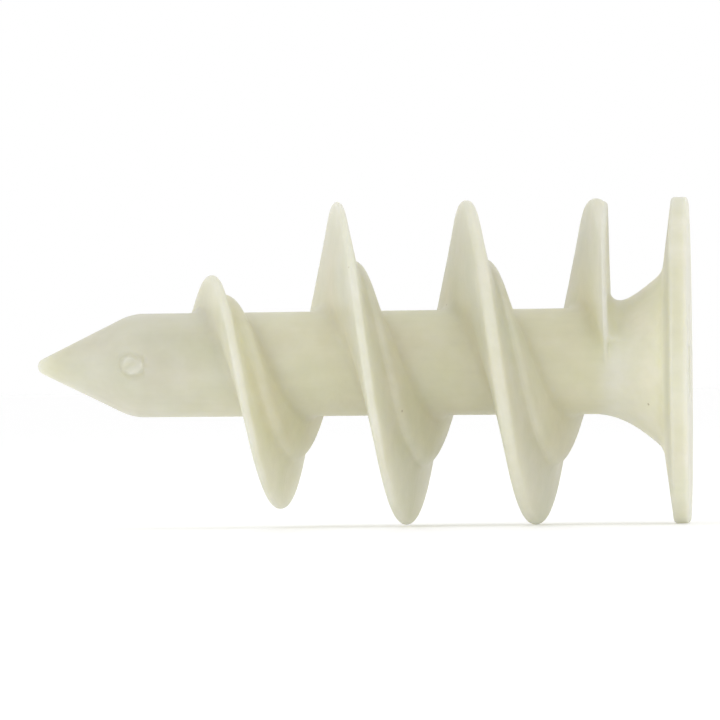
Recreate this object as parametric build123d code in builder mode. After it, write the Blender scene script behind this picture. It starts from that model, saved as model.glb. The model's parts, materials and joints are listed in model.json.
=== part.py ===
from build123d import *

import os
from math import cos, pi, radians, sin, tan

# Wall anchor for plasterboard, moulded in one piece from natural nylon.
# Frame: X is the axis of the anchor. The head's outer face lies in the plane X = 0, with its centre
# at the origin, and the point of the anchor is at -X. Z is up, and the mould parts in the XZ plane.
# Lengths are in millimetres and angles in degrees.

# Head
anchor_length = 32.0
head_diameter = 16.0
rim_thickness = 0.82
rim_edge_radius = 0.22
head_underside_angle = 7.4  # lean of the head's underside from square to the axis

# Flare from the shank up to the head
flare_mouth_radius = 4.3
flare_angle = 39.0
flare_root_fillet = 3.5
flare_mouth_fillet = 0.4

# Hollow shank and its point
shank_radius_at_point = 2.54
shank_radius_at_flare = 2.6
point_half_angle = 26.3
point_nose_radius = 0.4
point_corner_fillet = 0.8

# Pilot hole for the screw
bore_radius = 1.5
bore_end = -25.8
bore_end_cone = 0.6
countersink_radius = 2.2
countersink_depth = 0.7

# Cross recess for a size 2 driver
recess_depth = 4.6
recess_span_at_face = 5.4
recess_span_at_floor = 3.4
recess_slot_at_face = 1.35
recess_slot_at_floor = 1.1

# Thread: one start, right hand. Its crest passes straight above the axis once a turn, and turns
# are counted from the first such place. It rises out of the shank and is cut square near the head.
thread_pitch = 6.345
first_top = -23.52
crest_radius = 7.94
crest_rise_per_turn = 5.35
full_turn = 0.66  # where the even rise would reach the crest's full radius
full_turn_easing = 0.15  # turns taken on each side of that place to level off
start_turn = -0.375
end_turn = 3.4
square_end = -3.92
thread_foot_radius = 2.1  # inside the shank's wall, so that the thread and the shank join

# Section of the thread. A flank's slope is its spread along the axis for each millimetre of radius.
crest_half_width = 0.15
crest_growth_per_turn = 0.1  # after the first turn
crest_rounding = 0.08
tip_flank_slope = 0.126
head_flank_slope = 0.14
shoulder_height_share = 0.49
shoulder_width = 0.52
shoulder_foot_slope = 0.21

stations_per_turn = 24
stations_per_loft = 24

# Mark left where the mould's gate was nipped off
gate_mark_x = -27.2
gate_mark_radius = 0.55
gate_mark_height = 0.1


def crest_radius_at(turn):
    """Radius of the crest, which rises evenly out of the shank and then levels off at its full value."""
    turns_left = full_turn - turn
    if turns_left > full_turn_easing:
        return crest_radius - crest_rise_per_turn * turns_left
    eased = max(turns_left + full_turn_easing, 0) ** 2 / (4 * full_turn_easing)
    return crest_radius - crest_rise_per_turn * eased


def station_plane(turn):
    """Plane that holds the axis and faces round it, with the thread's outward direction as its Y."""
    around = 2 * pi * turn
    return Plane(origin=(0, 0, 0), x_dir=(1, 0, 0), z_dir=(0, -cos(around), -sin(around)))


def thread_outline(turn):
    """Outline of the thread's section at this turn, in the station's plane."""
    crest = first_top + thread_pitch * turn
    top = crest_radius_at(turn)
    half = crest_half_width + crest_growth_per_turn * max(turn - 1, 0)
    shoulder = thread_foot_radius + shoulder_height_share * (top - thread_foot_radius)
    shoulder_inside = crest + half + head_flank_slope * (top - shoulder)
    shoulder_outside = shoulder_inside + shoulder_width
    tip_foot = crest - half - tip_flank_slope * (top - thread_foot_radius)
    head_foot = shoulder_outside + shoulder_foot_slope * (shoulder - thread_foot_radius)
    ThreePointArc((crest - half, top - crest_rounding), (crest, top), (crest + half, top - crest_rounding))
    Polyline(
        (crest + half, top - crest_rounding),
        (shoulder_inside, shoulder),
        (shoulder_outside, shoulder),
        (head_foot, thread_foot_radius),
        (tip_foot, thread_foot_radius),
        (crest - half, top - crest_rounding),
    )


# Corners of the body's outline, worked out from the dimensions above
tip = -anchor_length
head_radius = head_diameter / 2
point_angle = radians(point_half_angle)
nose_end = tip + point_nose_radius * (1 - sin(point_angle))
nose_end_radius = point_nose_radius * cos(point_angle)
point_end = nose_end + (shank_radius_at_point - nose_end_radius) / tan(point_angle)
flare_mouth = -rim_thickness - (head_radius - flare_mouth_radius) * tan(radians(head_underside_angle))
flare_start = flare_mouth - (flare_mouth_radius - shank_radius_at_flare) / tan(radians(flare_angle))

with BuildPart() as anchor_body:
    # Point, shank, flare and head, turned about the axis
    with BuildSketch(Plane.XZ):
        with BuildLine():
            RadiusArc((tip, 0), (nose_end, nose_end_radius), point_nose_radius)
            Polyline(
                (nose_end, nose_end_radius),
                (point_end, shank_radius_at_point),
                (flare_start, shank_radius_at_flare),
                (flare_mouth, flare_mouth_radius),
                (-rim_thickness, head_radius),
                (0, head_radius),
                (0, 0),
                (tip, 0),
            )
        make_face()
        for x, radius, size in (
            (point_end, shank_radius_at_point, point_corner_fillet),
            (flare_start, shank_radius_at_flare, flare_root_fillet),
            (flare_mouth, flare_mouth_radius, flare_mouth_fillet),
            (-rim_thickness, head_radius, rim_edge_radius),
            (0, head_radius, rim_edge_radius),
        ):
            fillet(vertices().sort_by_distance((x, 0, radius))[0], size)
    revolve(axis=Axis.X)

    # Mark of the gate, on the front of the shank at the end of the point
    with BuildSketch(Plane.XZ.offset(shank_radius_at_point - 0.5)):
        with Locations((gate_mark_x, 0)):
            Circle(gate_mark_radius)
    extrude(amount=0.5 + gate_mark_height)

# Thread, lofted up to a turn at a time through sections that all hold the axis
first_station = round(start_turn * stations_per_turn)
last_station = round(end_turn * stations_per_turn)
with BuildPart() as thread:
    for first in range(first_station, last_station, stations_per_loft):
        last = min(first + stations_per_loft, last_station)
        for station in range(first, last + 1):
            turn = station / stations_per_turn
            with BuildSketch(station_plane(turn)):
                with BuildLine():
                    thread_outline(turn)
                make_face()
        loft()
    split(bisect_by=Plane.YZ.offset(square_end), keep=Keep.BOTTOM)

with anchor_body:
    add(thread.part)

    # Pilot hole, blind, with a countersunk mouth
    with BuildSketch(Plane.XZ):
        with BuildLine():
            Polyline(
                (0, 0),
                (0, countersink_radius),
                (-countersink_depth, bore_radius),
                (bore_end, bore_radius),
                (bore_end - bore_end_cone, 0),
                close=True,
            )
        make_face()
    revolve(axis=Axis.X, mode=Mode.SUBTRACT)

    # Cross recess, tapering from the face to its floor
    for depth, span, slot in (
        (0, recess_span_at_face, recess_slot_at_face),
        (recess_depth, recess_span_at_floor, recess_slot_at_floor),
    ):
        with BuildSketch(Plane.YZ.offset(-depth)):
            Rectangle(span, slot)
            Rectangle(slot, span)
    loft(mode=Mode.SUBTRACT)

anchor_body.part.label = "anchor_body"
os.makedirs("parts", exist_ok=True)
export_step(anchor_body.part, "parts/anchor_body.step")
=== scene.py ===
import json
import bpy
import numpy as np
from math import asin, atan2, cos, pi, radians, sin, tan
from mathutils import Matrix, Vector


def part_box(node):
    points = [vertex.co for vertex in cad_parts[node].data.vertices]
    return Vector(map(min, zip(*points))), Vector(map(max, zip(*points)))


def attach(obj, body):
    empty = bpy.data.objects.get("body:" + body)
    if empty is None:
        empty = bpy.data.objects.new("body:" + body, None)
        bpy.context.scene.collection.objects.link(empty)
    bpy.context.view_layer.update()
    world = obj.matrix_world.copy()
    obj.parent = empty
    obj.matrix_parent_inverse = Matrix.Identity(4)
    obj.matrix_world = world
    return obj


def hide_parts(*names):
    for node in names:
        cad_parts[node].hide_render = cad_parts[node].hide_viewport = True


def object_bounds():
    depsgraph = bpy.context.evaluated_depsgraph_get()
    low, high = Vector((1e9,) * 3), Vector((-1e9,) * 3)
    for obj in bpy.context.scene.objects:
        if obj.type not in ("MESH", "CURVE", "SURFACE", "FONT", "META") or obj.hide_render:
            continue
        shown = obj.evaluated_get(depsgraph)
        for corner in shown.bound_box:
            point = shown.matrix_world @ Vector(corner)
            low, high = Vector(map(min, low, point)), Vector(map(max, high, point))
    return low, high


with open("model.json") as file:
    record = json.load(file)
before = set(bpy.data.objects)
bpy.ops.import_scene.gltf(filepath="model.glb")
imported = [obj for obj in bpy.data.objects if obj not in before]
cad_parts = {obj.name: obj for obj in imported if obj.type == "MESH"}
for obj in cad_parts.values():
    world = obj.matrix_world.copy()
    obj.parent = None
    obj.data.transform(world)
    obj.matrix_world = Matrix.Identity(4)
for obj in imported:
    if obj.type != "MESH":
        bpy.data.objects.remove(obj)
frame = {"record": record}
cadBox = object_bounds()
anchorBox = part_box("anchor_body")
mounts = {mount["name"]: mount for mount in frame["record"]["mounts"]}
mm = 0.001
print("frame loaded")

# Curves and shares that the whole moulding uses.


def softMin(a, b, blend):
    # the smaller of a and b, with a parabola of that width where they are nearly equal
    near = np.clip(0.5 + 0.5 * (b - a) / blend, 0, 1)
    return b + (a - b) * near - blend * near * (1 - near)


def softMax(a, b, blend):
    # the larger of a and b: minus the soft smaller one of -a and -b
    return -softMin(-a, -b, blend)


def bend(start, corner, end, share):
    # quadratic curve: start (1-s)^2 + corner 2s(1-s) + end s^2
    return start * (1 - share) ** 2 + 2 * corner * share * (1 - share) + end * share**2


def shares(count):
    # that many equal shares, the first just after 0 and the last 1
    return np.arange(1, count + 1) / count


# The moulding. All its lengths are millimetres, and x runs along the axis from the head's face.

body = dict(
    columns=216,                  # steps round the axis
    tip=anchorBox[0][0] / mm,
    face=anchorBox[1][0] / mm,
    headRadius=(anchorBox[1][2] - anchorBox[0][2]) / 2 / mm,
    noseRadius=0.4,
    pointHalfAngle=26.3,
    pointRounding=0.28,
    coneEnd=-28.2,                # coarse rows up to here, fine ones past the gate mark
    shankRadiusAtPoint=2.545,
    shankRadiusAtFlare=2.605,
    flareMouthRadius=4.3,
    flareAngle=39.0,
    flareRounding=1.08,
    mouthFillet=0.4,
    undersideAngle=7.4,
    rimThickness=0.82,
    rimRounding=0.2,
    sharpAngle=55,                # edges sharper than this many degrees stay crisp
)

thread = dict(                    # turns are counted from where the crest first passes over the top
    pitch=6.344,
    firstTop=-23.517,
    sway=0.05,                    # the crest leans this far back at the top and forward underneath
    startTurn=-0.321,
    startRounding=0.25,           # how softly the crest leaves the shank
    risePerTurn=5.48,
    ease=0.12,
    height=5.36,
    heightAtEnd=0.1,              # what the crest gains over the last turn
    insideHead=0.005,             # the least the crest stays inside the head's radius
    headEase=0.04,
    widthAtStart=1.45,            # how many times wider the section is where it is still low
    crestHalfWidth=0.18,
    crestGrowth=0.105,            # per turn, after the first
    capShare=0.3,                 # the crest's rounding is never more of the height than this
    tipFlankSlope=0.144,
    headFlankSlope=0.147,
    shoulderShare=0.48,           # height of the shoulder over the height of the crest
    shoulderExtra=0.135,          # and what is added to that where the thread is low
    rootHollow=0.03,
    shoulderWidth=0.562,
    shoulderDrop=0.23,
    dropShare=0.4,                # the shoulder never drops by more of its height than this
    shoulderFootSlope=0.215,
    tipFillet=0.7,
    headFillet=0.5,
    filletAtHeight=0.6,           # the crest's height at which the fillets are half their size
    flankReach=0.8,
    valleyReach=1.1,              # how far the hollow above the shoulder runs up the flank
    lipReach=0.5,                 # and how far the shoulder's rounded lip runs down its foot
    shelfReach=0.4,
    squareEnd=-3.92,
    endRounding=0.2,
    endFillet=1.05,
    bareHeight=0.02,              # a ring lower than this over the flare has no thread on it
    lowestX=-26.6,                # the plain shank ahead of the thread ends here
)

hole = dict(
    radius=mounts["screw_bore"]["dims"]["r_mm"],
    end=(mounts["screw_bore"]["pos_m"][0] / mm - mounts["screw_bore"]["dims"]["length_mm"] / 2),
    endCone=0.6,
    mouthRadius=2.2,
    mouthDepth=0.7,
    recessDepth=4.6,
    spanAtFace=5.4,
    spanAtFloor=3.4,
    slotAtFace=1.35,
    slotAtFloor=1.1,
    slotRounding=0.12,
    wallRounding=0.05,
    edgeRounding=0.09,
    faceRing=4.4,                 # the face is plain rings down to this radius
)

gateMark = dict(                  # the nipped stub on the front, where the plastic came in
    x=-27.2,
    radius=0.5,
    height=0.13,
    edge=0.08,
    oval=0.13,
    uneven=0.05,
    tearAlong=5.0,
    tearAcross=6.0,
    ditch=0.06,
    ditchWidth=0.12,
    ditchAt=1.25,                 # times the stub's radius
)


def shankRadius(x):
    # straight taper: the radius at the point, plus the share of the way to the flare times the gain
    share = (x - thread["lowestX"]) / (thread["squareEnd"] - thread["lowestX"])
    return body["shankRadiusAtPoint"] + (body["shankRadiusAtFlare"] - body["shankRadiusAtPoint"]) * share


def pointRadius(x):
    # a ball for the nose, root of (r^2 - distance^2), then a cone, then the shank, run softly together
    lean = radians(body["pointHalfAngle"])
    centre = body["tip"] + body["noseRadius"]
    tangent = centre - body["noseRadius"] * sin(lean)
    ball = np.sqrt(np.clip(body["noseRadius"] ** 2 - (x - centre) ** 2, 0, None))
    cone = body["noseRadius"] * cos(lean) + (x - tangent) * tan(lean)
    return np.where(x < tangent, ball, softMin(cone, shankRadius(x), body["pointRounding"]))


def flareRadius(x):
    # the soft larger of the shank and a cone that opens to the underside of the head
    cone = body["flareMouthRadius"] + (x - flareMouthX()) * tan(radians(body["flareAngle"]))
    return softMax(shankRadius(x), cone, body["flareRounding"])


def flareMouthX():
    # where the flare meets the underside: the rim's back, less the width in between times its lean
    lean = tan(radians(body["undersideAngle"]))
    return body["face"] - body["rimThickness"] - (body["headRadius"] - body["flareMouthRadius"]) * lean


def crestLine(turn):
    # where along the axis the middle of the crest is: first top plus pitch times turns, less the sway
    return thread["firstTop"] + thread["pitch"] * turn - thread["sway"] * np.cos(2 * pi * turn)


def crestHeight(turn):
    # a straight climb out of the shank, rounded off into the full height, which grows a little at the end
    # but never stands out past the head
    climb = thread["risePerTurn"] * (turn - thread["startTurn"])
    full = thread["height"] + thread["heightAtEnd"] * np.clip(turn - 2, 0, None)
    room = body["headRadius"] - thread["insideHead"] - flareRadius(crestLine(turn) + thread["crestHalfWidth"])
    full = softMin(full, room, thread["headEase"])
    return softMin(softMax(climb, 0.0, thread["startRounding"]), full, thread["ease"])


def toward(start, goal, distance):
    # the point that far from start on the way to goal, but never past 45% of the way
    length = np.hypot(goal[0] - start[0], goal[1] - start[1]) + 1e-9
    return start + (goal - start) * np.minimum(distance / length, 0.45)


def roundedCorner(before, corner, after, reachBefore, reachAfter, count):
    # a quadratic curve that cuts the corner, from that far before it to that far after it
    share = (np.arange(count) / (count - 1))[:, None, None]
    return bend(toward(corner, before, reachBefore), corner, toward(corner, after, reachAfter), share)


def threadSection(turn):
    # Offsets along the axis from the crest's line, and heights over the shank, at these turns: up the
    # tip side from its root fillet, over a rounded crest, down the head side to a shoulder, over its
    # convex top and down its foot to the other root fillet. A flank's offset is the crest's half width
    # plus its slope times the drop from the crest; the last two values are the reach to each side.
    height = crestHeight(turn)
    flat = 0 * height
    share = np.clip(height / thread["height"], 0, 1)
    wide = thread["widthAtStart"] + (1 - thread["widthAtStart"]) * share
    half = (thread["crestHalfWidth"] + thread["crestGrowth"] * np.clip(turn - 1, 0, None)) * wide
    cap = np.minimum(half, height * thread["capShare"])
    shoulder = height * (thread["shoulderShare"] + thread["shoulderExtra"] * (1 - share))
    drop = np.minimum(thread["shoulderDrop"] * wide, thread["dropShare"] * shoulder)
    flankTop = height - cap

    shelfIn = half + thread["headFlankSlope"] * (flankTop - shoulder) * wide
    shelfOut = shelfIn + thread["shoulderWidth"] * wide
    headFoot = shelfOut + thread["shoulderFootSlope"] * (shoulder - drop)
    tipBend = half + thread["tipFlankSlope"] * (flankTop - shoulder) * wide
    tipFoot = tipBend + (thread["tipFlankSlope"] * shoulder - thread["rootHollow"] * shoulder**2) * wide

    tipRoot = np.stack([-tipFoot, flat])
    tipMiddle = np.stack([-tipBend, shoulder])
    tipTop = np.stack([-half, flankTop])
    headTop = np.stack([half, flankTop])
    valley = np.stack([shelfIn, shoulder])
    lip = np.stack([shelfOut, shoulder - drop])
    headRoot = np.stack([headFoot, flat])
    farAhead = np.stack([flat + 9, flat])
    grown = height / (height + thread["filletAtHeight"])
    tipReach = thread["tipFillet"] * grown
    headReach = thread["headFillet"] * grown
    flankReach, shelfReach = thread["flankReach"], thread["shelfReach"]
    over = ((np.arange(1, 12) / 12 - 0.5)[:, None, None] * pi)[:, 0]
    quarters = (np.arange(1, 4) / 4)[:, None, None]
    path = np.concatenate([
        roundedCorner(-farAhead, tipRoot, tipMiddle, tipReach, tipReach, 9),
        roundedCorner(tipRoot, tipMiddle, tipTop, flankReach, flankReach, 5),
        tipMiddle + (tipTop - tipMiddle) * (0.45 + 0.55 * quarters),
        np.stack([half * np.sin(over), flankTop + cap * np.cos(over)], axis=1),
        headTop + (valley - headTop) * 0.5 * quarters,
        roundedCorner(headTop, valley, lip, thread["valleyReach"], shelfReach, 7),
        roundedCorner(valley, lip, headRoot, shelfReach, thread["lipReach"], 7),
        roundedCorner(lip, headRoot, farAhead, headReach, headReach, 9),
    ])
    return path[:, 0], path[:, 1], path[-1, 0], -path[0, 0]


def threadGrid():
    # Rows follow the helix and columns stand round the axis: x is the crest's line plus the section's
    # offset, r the shank plus its height. Going once round moves a row one pitch on, so the last column
    # is the first one again, a whole turn of rows further.
    n = body["columns"]
    firstTurn = -2
    turns = 7
    turn = firstTurn + np.arange(turns)[:, None] + np.arange(n)[None, :] / n      # turn number, column
    flat = turn.reshape(-1)
    offsets, heights, afterHead, _ = threadSection(flat)
    nextBefore = threadSection(flat + 1)[3]
    share = (np.arange(1, 9) / 9)[:, None]
    groove = afterHead + (crestLine(flat + 1) - crestLine(flat) - nextBefore - afterHead) * share
    offsets = np.concatenate([offsets, groove])
    heights = np.concatenate([heights, 0 * groove])
    m = len(offsets)
    x = crestLine(flat) + offsets
    x = x.reshape(m, turns, n).transpose(1, 0, 2).reshape(turns * m, n)
    h = heights.reshape(m, turns, n).transpose(1, 0, 2).reshape(turns * m, n)
    return x, flareRadius(x) + h, m


def around(x, r, angle):
    # (x, -r sin a, r cos a): points at x along the axis and r from it; the angle starts at the top and
    # goes by the front
    x, r, angle = np.broadcast_arrays(x, r, angle)
    return np.stack([x, -r * np.sin(angle), r * np.cos(angle)], axis=-1)


def gateRadius(rows, radius, angle):
    # The stub's height times a smooth step of how far a point is inside its ragged edge, torn by waves
    # that run askew, less a ditch just outside it that falls off as a bell curve.
    along = rows[:, None] - gateMark["x"]
    across = (angle + pi / 2) % (2 * pi) - pi      # zero at the front
    away = np.sqrt(along**2 + (radius * across) ** 2)
    turned = np.arctan2(radius * across, along)
    ragged = gateMark["radius"] * (
        1 + gateMark["oval"] * np.sin(2 * turned + 1) + gateMark["uneven"] * np.sin(3 * turned + 2)
    )
    stub = np.clip((ragged - away) / gateMark["edge"], 0, 1)
    torn = 0.5 + 0.5 * np.sin(gateMark["tearAlong"] * along + gateMark["tearAcross"] * radius * across - 0.6)
    radius = radius + gateMark["height"] * stub**2 * (3 - 2 * stub) * torn
    fromDitch = (away - gateMark["ditchAt"] * ragged) / gateMark["ditchWidth"]
    return radius - gateMark["ditch"] * np.exp(-(fromDitch**2))


def recessRing(depth, radius, inset=0.0):
    # Outline of the cross recess joined with a round hole, as the larger of the two: the wings' straight
    # ends and sides (half span / cos, half slot / sin) and the hole's arc, each in its own share of the
    # columns, so that the corners fall on columns.
    n = body["columns"]
    share = depth / hole["recessDepth"]
    halfSpan = (hole["spanAtFace"] + (hole["spanAtFloor"] - hole["spanAtFace"]) * share) / 2 + inset
    halfSlot = (hole["slotAtFace"] + (hole["slotAtFloor"] - hole["slotAtFace"]) * share) / 2 + inset
    radius = radius + inset
    corner = atan2(halfSlot, halfSpan)
    joint = asin(halfSlot / radius)
    quarter = np.arange(n) / (n / 4)
    axisNumber = np.round(quarter)
    side = quarter - axisNumber
    fold = np.interp(np.abs(side) * 2, [0, 0.3, 0.7, 1], [0, corner, joint, pi / 4])
    cap = halfSpan / np.cos(fold)
    slotSide = halfSlot / np.maximum(np.sin(fold), 1e-3)
    wing = softMin(cap, slotSide, hole["slotRounding"])
    out = softMax(wing, radius + 0 * wing, hole["wallRounding"])
    return out, axisNumber * pi / 2 + np.sign(side) * fold


def weld(grids):
    # Joins the grids where their points are the same, and makes a face of each cell's four corners, or
    # of three where two of them are one point.
    points = np.concatenate([g.reshape(-1, 3) for g in grids])
    cells = []
    start = 0
    for g in grids:
        rows, cols = g.shape[:2]
        index = start + np.arange(rows * cols).reshape(rows, cols)
        corners = [index[:-1, :-1], index[:-1, 1:], index[1:, 1:], index[1:, :-1]]
        cells.append(np.stack(corners, -1).reshape(-1, 4))
        start += rows * cols
    places, inverse = np.unique(np.round(points, 5), axis=0, return_inverse=True)
    quads = inverse.reshape(-1)[np.concatenate(cells)]
    same = quads == np.roll(quads, -1, axis=1)
    crossed = (quads[:, 0] == quads[:, 2]) | (quads[:, 1] == quads[:, 3])
    whole = quads[(same.sum(1) == 0) & ~crossed]
    onePair = (same.sum(1) == 1) & ~crossed
    threes = quads[onePair][~same[onePair]].reshape(-1, 3)
    return places * mm, whole.tolist() + threes.tolist()


def closed(grid):
    # the grid with its first column again at the end
    return np.concatenate([grid, grid[:, :1]], axis=1)


def threadSkin(angle, lowRing):
    # The thread and the shank under it: the helical grid, with every point ahead of the plain shank's
    # last ring put on that ring, and every point past the square end on the section that is cut there.
    column = np.arange(body["columns"])
    x, r, perTurn = threadGrid()
    endX = thread["squareEnd"] - thread["endRounding"]
    below = (x < endX).sum(0) - 1
    x0, x1, r0, r1 = x[below, column], x[below + 1, column], r[below, column], r[below + 1, column]
    endRadius = r0 + (r1 - r0) * (endX - x0) / (x1 - x0)
    bare = flareRadius(np.array([endX]))
    endRadius = np.where(endRadius < bare + thread["bareHeight"], bare, endRadius)
    points = around(x, r, angle)
    highRing = around(endX, endRadius, angle)
    points = np.where((x <= thread["lowestX"])[..., None], lowRing, points)
    points = np.where((x >= endX)[..., None], highRing, points)
    return np.concatenate([points[:-perTurn], points[perTurn:, :1]], axis=1), highRing, endX, endRadius, bare


def pointSkin(angle, lowRing):
    # Nose, cone and plain shank as rings of the point's radius, with the gate mark added to it.
    lean = pi / 2 * np.arange(12) / 12
    noseX = body["tip"] + body["noseRadius"] * (1 - np.cos(lean * (1 - body["pointHalfAngle"] / 90)))
    coneX = np.linspace(noseX[-1] + 0.05, body["coneEnd"], 18)
    markX = np.linspace(body["coneEnd"] + 0.1, thread["lowestX"], 32)[:-1]
    rows = np.concatenate([noseX, coneX, markX])
    radius = pointRadius(rows)[:, None] + 0 * angle
    radius[0] = 0
    grid = around(rows[:, None], gateRadius(rows, radius, angle), angle)
    grid[0] = (body["tip"], 0, 0)
    return closed(np.concatenate([grid, lowRing[None]]))


def headSkin(angle, highRing, endX, endRadius, bare):
    # Rings from the thread's square end over its fillet, the flare, the head and its rim to the face,
    # then into the recess and down the hole. Rounded edges are quarter circles, fillets quadratic curves.
    n = body["columns"]
    height = endRadius - bare
    edge = np.minimum(thread["endRounding"], height * 0.5)
    square = thread["squareEnd"]
    quarterTurn = (np.arange(1, 6) / 5 * pi / 2)[:, None]
    rings = [highRing[None]]
    x = endX + thread["endRounding"] * np.sin(quarterTurn)
    rise = (flareRadius(x) - bare) * (1 - np.clip(height / 0.5, 0, 1))
    rings.append(around(x, endRadius + rise - edge * (1 - np.cos(quarterTurn)), angle))
    base = flareRadius(np.array([square]))
    wallTop = endRadius + rise[-1] - edge
    filletTop = base + np.minimum(thread["endFillet"], np.clip(wallTop - base, 0, None))
    share = shares(8)[:, None]
    rings.append(around(square, wallTop + (filletTop - wallTop) * share, angle))
    x = square + thread["endFillet"] * share**2
    rings.append(around(x, flareRadius(x) + (filletTop - base) * (1 - share) ** 2, angle))

    # the flare, its fillet and the leaning underside
    mouth = flareMouthX()
    mouthFillet = body["mouthFillet"]
    flareEnd = mouth - mouthFillet * cos(radians(body["flareAngle"]))
    x = np.linspace(square + thread["endFillet"], flareEnd, 16)[1:]
    rings.append(around(x[:, None], flareRadius(x)[:, None], angle))
    lean = tan(radians(body["undersideAngle"]))
    filletStart = np.array([x[-1], flareRadius(x[-1:])[0]])
    filletCorner = np.array([mouth, body["flareMouthRadius"]])
    filletEnd = np.array([mouth + mouthFillet * lean, body["flareMouthRadius"] + mouthFillet])
    curve = bend(filletStart, filletCorner, filletEnd, shares(6)[:, None])
    rings.append(around(curve[:, :1], curve[:, 1:], angle))
    rim, rounding, face = body["headRadius"], body["rimRounding"], body["face"]
    back = face - body["rimThickness"]
    under = np.linspace(filletEnd, np.array([back - rounding * lean, rim - rounding]), 9)[1:]
    rings.append(around(under[:, :1], under[:, 1:], angle))

    # the rim and the flat face
    quarterTurn = (np.arange(1, 8) / 7 * pi / 2)[:, None]
    startX = under[-1, 0]
    inner, outer = 1 - np.cos(quarterTurn), 1 - np.sin(quarterTurn)
    rings.append(around(startX + rounding * inner, rim - rounding * outer, angle))
    rings.append(around(np.linspace(startX + rounding, face - rounding, 5)[1:, None], rim, angle))
    rings.append(around(face - rounding * outer, rim - rounding * inner, angle))
    rings.append(around(face, np.linspace(rim - rounding, hole["faceRing"], 10)[1:, None], angle))

    # the face runs in to the recess, over its rounded edge and down its tapering walls
    def recess(depth, radius, inset=0.0, atX=None):
        # one ring of the recess at that depth, joined with a hole of that radius
        out, ringAngle = recessRing(depth, radius, inset)
        return around(face - depth if atX is None else atX, out, ringAngle)[None]

    edge = hole["edgeRounding"]
    last = rings[-1][-1:]
    first = recess(0, hole["mouthRadius"], edge)
    rings += [last + (first - last) * share for share in shares(6)]
    for share in shares(4):
        turned = share * pi / 2
        inset, deeper = edge * (1 - sin(turned)), edge * (1 - cos(turned))
        rings.append(recess(0, hole["mouthRadius"], inset, face - deeper))
    for share in shares(5):
        depth = edge + (hole["mouthDepth"] - edge) * share
        rings.append(recess(depth, hole["mouthRadius"] + (hole["radius"] - hole["mouthRadius"]) * share))
    for depth in np.linspace(hole["mouthDepth"], hole["recessDepth"], 10)[1:]:
        rings.append(recess(depth, hole["radius"]))

    # the recess's floor, the hole and the cone at its end
    floorOut, floorAngle = recessRing(hole["recessDepth"], hole["radius"])
    floorX = face - hole["recessDepth"]
    for share in shares(4):
        rings.append(around(floorX, floorOut + (hole["radius"] - floorOut) * share, floorAngle)[None])
    for x in np.linspace(floorX, hole["end"], 16)[1:]:
        rings.append(around(x, hole["radius"], floorAngle)[None])
    for share in shares(5):
        x = hole["end"] - hole["endCone"] * share
        rings.append(around(x, hole["radius"] * (1 - share), floorAngle)[None])
    grid = np.concatenate([np.broadcast_to(ring, (ring.shape[0], n, 3)) for ring in rings])
    grid[-1] = (hole["end"] - hole["endCone"], 0, 0)
    return closed(grid)


def buildMoulding():
    # One skin of three grids that share their end rings: the thread, the point and the head with its hole.
    angle = 2 * pi * np.arange(body["columns"]) / body["columns"]
    lowRing = around(thread["lowestX"], pointRadius(np.array([thread["lowestX"]])), angle)
    threadPart, highRing, endX, endRadius, bare = threadSkin(angle, lowRing)
    return weld([threadPart, pointSkin(angle, lowRing), headSkin(angle, highRing, endX, endRadius, bare)])


def newObject(name, places, faces, material):
    # a smooth-shaded object at the origin, made of these points and faces
    mesh = bpy.data.meshes.new(name)
    mesh.from_pydata(places.tolist(), [], faces)
    mesh.polygons.foreach_set("use_smooth", [True] * len(mesh.polygons))
    mesh.materials.append(material)
    mesh.update()
    piece = bpy.data.objects.new(name, mesh)
    bpy.context.scene.collection.objects.link(piece)
    return piece


# The nylon: undyed, so light goes into it and comes out again, warmer where it is thick. Its colour also
# holds painted light: lighter in the grooves between the turns, and a painted glow on the flare.

nylonLook = dict(
    thin=(0.642, 0.632, 0.522, 1),    # where the wall is thin: crests and rim
    thick=(0.752, 0.73, 0.558, 1),    # where it is thick: the shank between the flanks; yellower, as thick nylon is, and lighter, painted light that lifts the shade of the grooves
    head=(0.84, 0.825, 0.705, 1),     # painted glow: the flare made lighter, standing in for the light that comes through the head
    thickFrom=6.8,                    # millimetres from the axis
    thickTo=2.7,
    mottle=0.08,                      # cloudy light and dark, as a share of the colour
    mottleScale=0.7,                  # clouds per millimetre
    flow=0.045,                       # the same, drawn out along the axis
    flowScale=1.6,
    flowStretch=0.12,
    tint=0.04,                        # from reddish to greenish
    tintScale=0.33,
    speck=(0.3, 0.24, 0.14, 1),
    specksPerMillimetre=0.42,
    speckShare=0.22,                  # share of the cells that hold a speck
    speckSize=0.055,                  # millimetres
    speckStrength=0.5,
    roughness=(0.36, 0.5),
    ior=1.45,
    scatterWeight=1.0,
    scatterMillimetres=2.0,
    scatterRadius=(1.0, 0.97, 0.75),
    peelHeight=0.012,                 # the skin's orange peel
    grainHeight=0.0022,
    drawnHeight=0.01,
    seamHeight=0.012,
    seamWidth=0.045,
)


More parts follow.
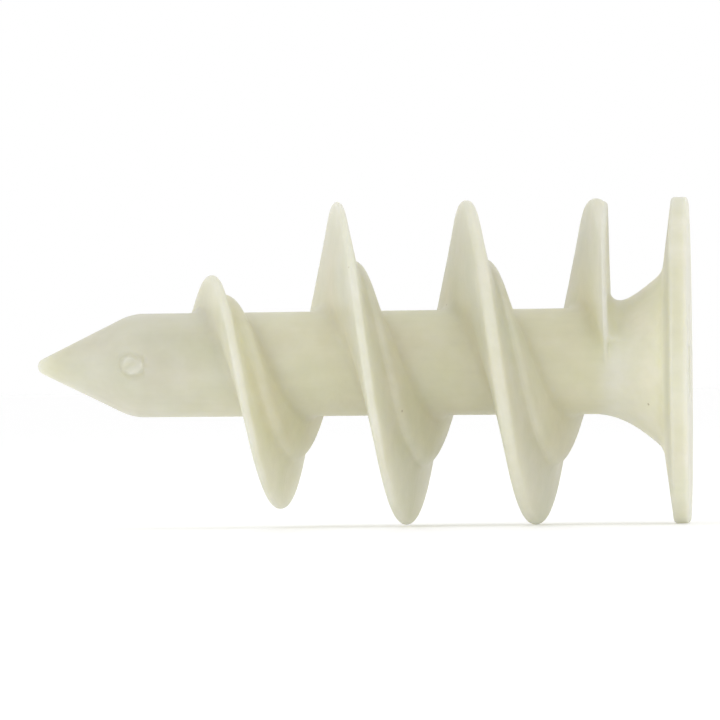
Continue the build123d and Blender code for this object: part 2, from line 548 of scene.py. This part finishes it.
class Signal:
    # One value or colour on its way through the shader; arithmetic on it adds Math nodes.

    def __init__(self, tree, socket):
        self.tree, self.socket = tree, socket

    def node(self, kind, inputs, output=0, **settings):
        # adds any node, makes its settings, then links or sets its inputs, and gives one of its outputs
        made = self.tree.nodes.new(kind)
        for name, value in settings.items():
            setattr(made, name, value)
        for name, value in inputs.items():
            if isinstance(value, Signal):
                self.tree.links.new(value.socket, made.inputs[name])
            else:
                made.inputs[name].default_value = value
        return Signal(self.tree, made.outputs[output])

    def __add__(self, other):
        return self.node("ShaderNodeMath", {0: self, 1: other}, operation="ADD")

    def __sub__(self, other):
        return self.node("ShaderNodeMath", {0: self, 1: other}, operation="SUBTRACT")

    def __rsub__(self, other):
        return self.node("ShaderNodeMath", {0: other, 1: self}, operation="SUBTRACT")

    def __mul__(self, other):
        return self.node("ShaderNodeMath", {0: self, 1: other}, operation="MULTIPLY")

    def __pow__(self, other):
        return self.node("ShaderNodeMath", {0: self, 1: other}, operation="POWER")

    def __rpow__(self, other):
        return self.node("ShaderNodeMath", {0: other, 1: self}, operation="POWER")

    __radd__ = __add__
    __rmul__ = __mul__


def ramp(value, start, end):
    # 0 before start and 1 after end, with the smooth step 3s^2 - 2s^3 in between
    return value.node("ShaderNodeMapRange", {"Value": value, "From Min": start, "From Max": end},
                      interpolation_type="SMOOTHSTEP")


def stretched(place, x, y, z):
    # the place times these three numbers, one for each axis
    return place.node("ShaderNodeVectorMath", {0: place, 1: (x, y, z)}, operation="MULTIPLY")


def cloudy(place, scale, detail=2.0, roughness=0.5):
    # noise less a half, so from about -0.5 to 0.5
    return place.node("ShaderNodeTexNoise", {"Vector": place, "Scale": scale, "Detail": detail,
                                             "Roughness": roughness}) - 0.5


def mixed(share, first, second):
    # the first colour times (1 - share) plus the second times the share
    return share.node("ShaderNodeMix", {"Factor": share, "A": first, "B": second}, output="Result",
                      data_type="RGBA")


def nylonMaterial():
    # Colour by the distance from the axis and the place along it, with painted light between the turns and a
    # painted glow on the flare, clouded and specked;
    # roughness from noise; and a skin of peel, drawn flow and seam in the bump.
    material = bpy.data.materials.new("nylon")
    material.use_nodes = True
    tree = material.node_tree
    shader = tree.nodes["Principled BSDF"]
    look = nylonLook
    spot = stretched(Signal(tree, tree.nodes.new("ShaderNodeTexCoord").outputs["Object"]), 1000, 1000, 1000)
    split = spot.node("ShaderNodeSeparateXYZ", {0: spot})
    x, y, z = (Signal(tree, output) for output in split.socket.node.outputs)
    away = (y * y + z * z) ** 0.5

    # painted light and real colour: thick nylon is deeper yellow, and the shank between the turns of the
    # thread is painted lighter against the shade of the grooves
    thick = ramp(away, look["thickFrom"], look["thickTo"]) * ramp(x, -27.5, -19.0) * ramp(x, -0.8, -5.0)
    colour = mixed(thick, look["thin"], look["thick"])
    # painted glow: lighter near the axis from the thread's end up to the head's face, flare and recess walls
    # included, for the light that comes through the head
    paintedGlowShare = ramp(x, -5.0, -3.4) * ramp(x, -0.3, -1.1) * ramp(away, 7.0, 4.5)
    colour = mixed(paintedGlowShare, colour, look["head"])
    mottle = cloudy(spot, look["mottleScale"], 3.0) * 2 * look["mottle"]
    drawnOut = stretched(spot, look["flowStretch"], 1, 1)
    flow = cloudy(drawnOut, look["flowScale"], 4.0, 0.6) * 2 * look["flow"]
    tint = cloudy(spot, look["tintScale"], 2.0) * look["tint"]
    shade = 1 + mottle + flow
    red, green, blue = shade + tint, shade - tint * 0.6, shade + mottle * 0.8
    scaled = spot.node("ShaderNodeCombineXYZ", {0: red, 1: green, 2: blue})
    colour = colour.node("ShaderNodeVectorMath", {0: colour, 1: scaled}, operation="MULTIPLY")

    # a few dark specks, each in its own cell
    density = look["specksPerMillimetre"]
    cell = spot.node("ShaderNodeTexVoronoi", {"Vector": spot, "Scale": density}, output="Distance")
    cellColour = Signal(tree, cell.socket.node.outputs["Color"])
    lot = cellColour.node("ShaderNodeSeparateXYZ", {0: cellColour})
    chosen = ramp(lot, look["speckShare"], look["speckShare"] - 0.02)
    dot = ramp(cell, look["speckSize"] * density * 1.4, look["speckSize"] * density)
    colour = mixed(dot * chosen * look["speckStrength"], colour, look["speck"])
    tree.links.new(colour.socket, shader.inputs["Base Color"])

    low, high = look["roughness"]
    rough = cloudy(spot, 1.4, 3.0) * 1.6 + 0.5
    tree.links.new((rough * (high - low) + low).socket, shader.inputs["Roughness"])

    # the skin of the moulding: a slight orange peel, drawn-out flow and the seam of the two mould halves
    peel = cloudy(spot, 3.2, 2.0) * look["peelHeight"] + cloudy(spot, 11.0, 2.0) * look["grainHeight"]
    drawn = cloudy(stretched(spot, 0.16, 1, 1), 2.2, 3.0) * look["drawnHeight"]
    fromSeam = y.node("ShaderNodeMath", {0: y}, operation="ABSOLUTE")
    seam = ramp(fromSeam, look["seamWidth"], 0.0) * ramp(away, 2.2, 2.5) * ramp(x, -0.9, -1.2)
    height = (peel + drawn + seam * look["seamHeight"]) * mm
    bumpInputs = {"Height": height, "Strength": 1.0, "Distance": 1.0}
    bump = height.node("ShaderNodeBump", bumpInputs, output="Normal")
    tree.links.new(bump.socket, shader.inputs["Normal"])

    shader.inputs["IOR"].default_value = look["ior"]
    shader.inputs["Subsurface Weight"].default_value = look["scatterWeight"]
    shader.inputs["Subsurface Radius"].default_value = look["scatterRadius"]
    shader.inputs["Subsurface Scale"].default_value = look["scatterMillimetres"] * mm
    return material


places, faces = buildMoulding()
moulding = newObject("nylonMoulding", places, faces, nylonMaterial())
moulding.data.set_sharp_from_angle(angle=radians(body["sharpAngle"]))
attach(moulding, "root")
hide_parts("anchor_body")
triangles = sum(map(len, faces)) - 2 * len(faces)
print("moulding built:", len(places), "points", len(faces), "faces", triangles, "triangles")

# Floor, light and camera, in metres and watts.

studio = dict(
    floorSize=3.0,
    floorColour=(0.93, 0.93, 0.93, 1),
    floorGlow=0.2,
    roomStrength=0.8,
    brightFrom=0.7,                   # the room turns white between these shares of straight behind
    brightTo=0.97,
    cameraDistance=0.7,
    fieldWidth=0.035318,              # what the picture is wide, at the aim
    yaw=2.4,
    roll=0.58,
    aim=(-0.016167, 0.0, 0.000165),
)

softBoxes = dict(
    leftLight=dict(place=(-0.42, -0.4, 0.06), width=0.45, watts=0.4),
    frontLight=dict(place=(0.08, -0.6, 0.03), width=0.5, watts=0.35),
    headLight=dict(place=(0.5, 0.0, 0.02), width=0.15, watts=0.45),
    topLight=dict(place=(-0.02, 0.1, 0.5), width=0.4, watts=0.25),
)

lowest = cadBox[0][2]
size = studio["floorSize"]
floorCorners = [(-size, -size, lowest), (size, -size, lowest), (size, size, lowest), (-size, size, lowest)]
floorMesh = bpy.data.meshes.new("floor")
floorMesh.from_pydata(floorCorners, [], [(0, 1, 2, 3)])
floorMesh.update()
floor = bpy.data.objects.new("floor", floorMesh)
bpy.context.scene.collection.objects.link(floor)
pale = bpy.data.materials.new("paleFloor")
pale.use_nodes = True
paleShader = pale.node_tree.nodes["Principled BSDF"]
paleShader.inputs["Base Color"].default_value = studio["floorColour"]
paleShader.inputs["Emission Color"].default_value = (1, 1, 1, 1)
paleShader.inputs["Emission Strength"].default_value = studio["floorGlow"]
floorMesh.materials.append(pale)

# the room is white behind the anchor and a little dimmer all round
world = bpy.data.worlds.new("studio")
world.use_nodes = True
tree = world.node_tree
direction = Signal(tree, tree.nodes.new("ShaderNodeTexCoord").outputs["Generated"])
behind = direction.node("ShaderNodeSeparateXYZ", {0: direction}, output="Y")
dim = studio["roomStrength"]
glow = ramp(behind, studio["brightFrom"], studio["brightTo"]) * (1.0 - dim) + dim
tree.nodes["Background"].inputs["Color"].default_value = (1, 1, 1, 1)
tree.links.new(glow.socket, tree.nodes["Background"].inputs["Strength"])
bpy.context.scene.world = world
bpy.context.scene.view_settings.view_transform = "Standard"


def softLight(name, place, width, watts):
    # a square soft box at that place, turned to the anchor
    data = bpy.data.lights.new(name, "AREA")
    data.size = width
    data.energy = watts
    light = bpy.data.objects.new(name, data)
    bpy.context.scene.collection.objects.link(light)
    light.location = place
    light.rotation_euler = (Vector(studio["aim"]) - Vector(place)).to_track_quat("-Z", "Y").to_euler()


for name, box in softBoxes.items():
    softLight(name, **box)
print("floor and lights set")

middle = Vector(studio["aim"])
yaw = radians(studio["yaw"])
cameraData = bpy.data.cameras.new("camera")
cameraData.sensor_width = 36
cameraData.lens = cameraData.sensor_width * studio["cameraDistance"] / studio["fieldWidth"]
cameraData.clip_start = 0.01
camera = bpy.data.objects.new("camera", cameraData)
bpy.context.scene.collection.objects.link(camera)
back = Vector((sin(yaw), -cos(yaw), 0))
right = Vector((cos(yaw), sin(yaw), 0))
turned = Matrix((right, Vector((0, 0, 1)), back)).transposed().to_4x4()
place = Matrix.Translation(middle + back * studio["cameraDistance"])
camera.matrix_world = place @ turned @ Matrix.Rotation(-radians(studio["roll"]), 4, "Z")
bpy.context.scene.camera = camera
print("camera set")
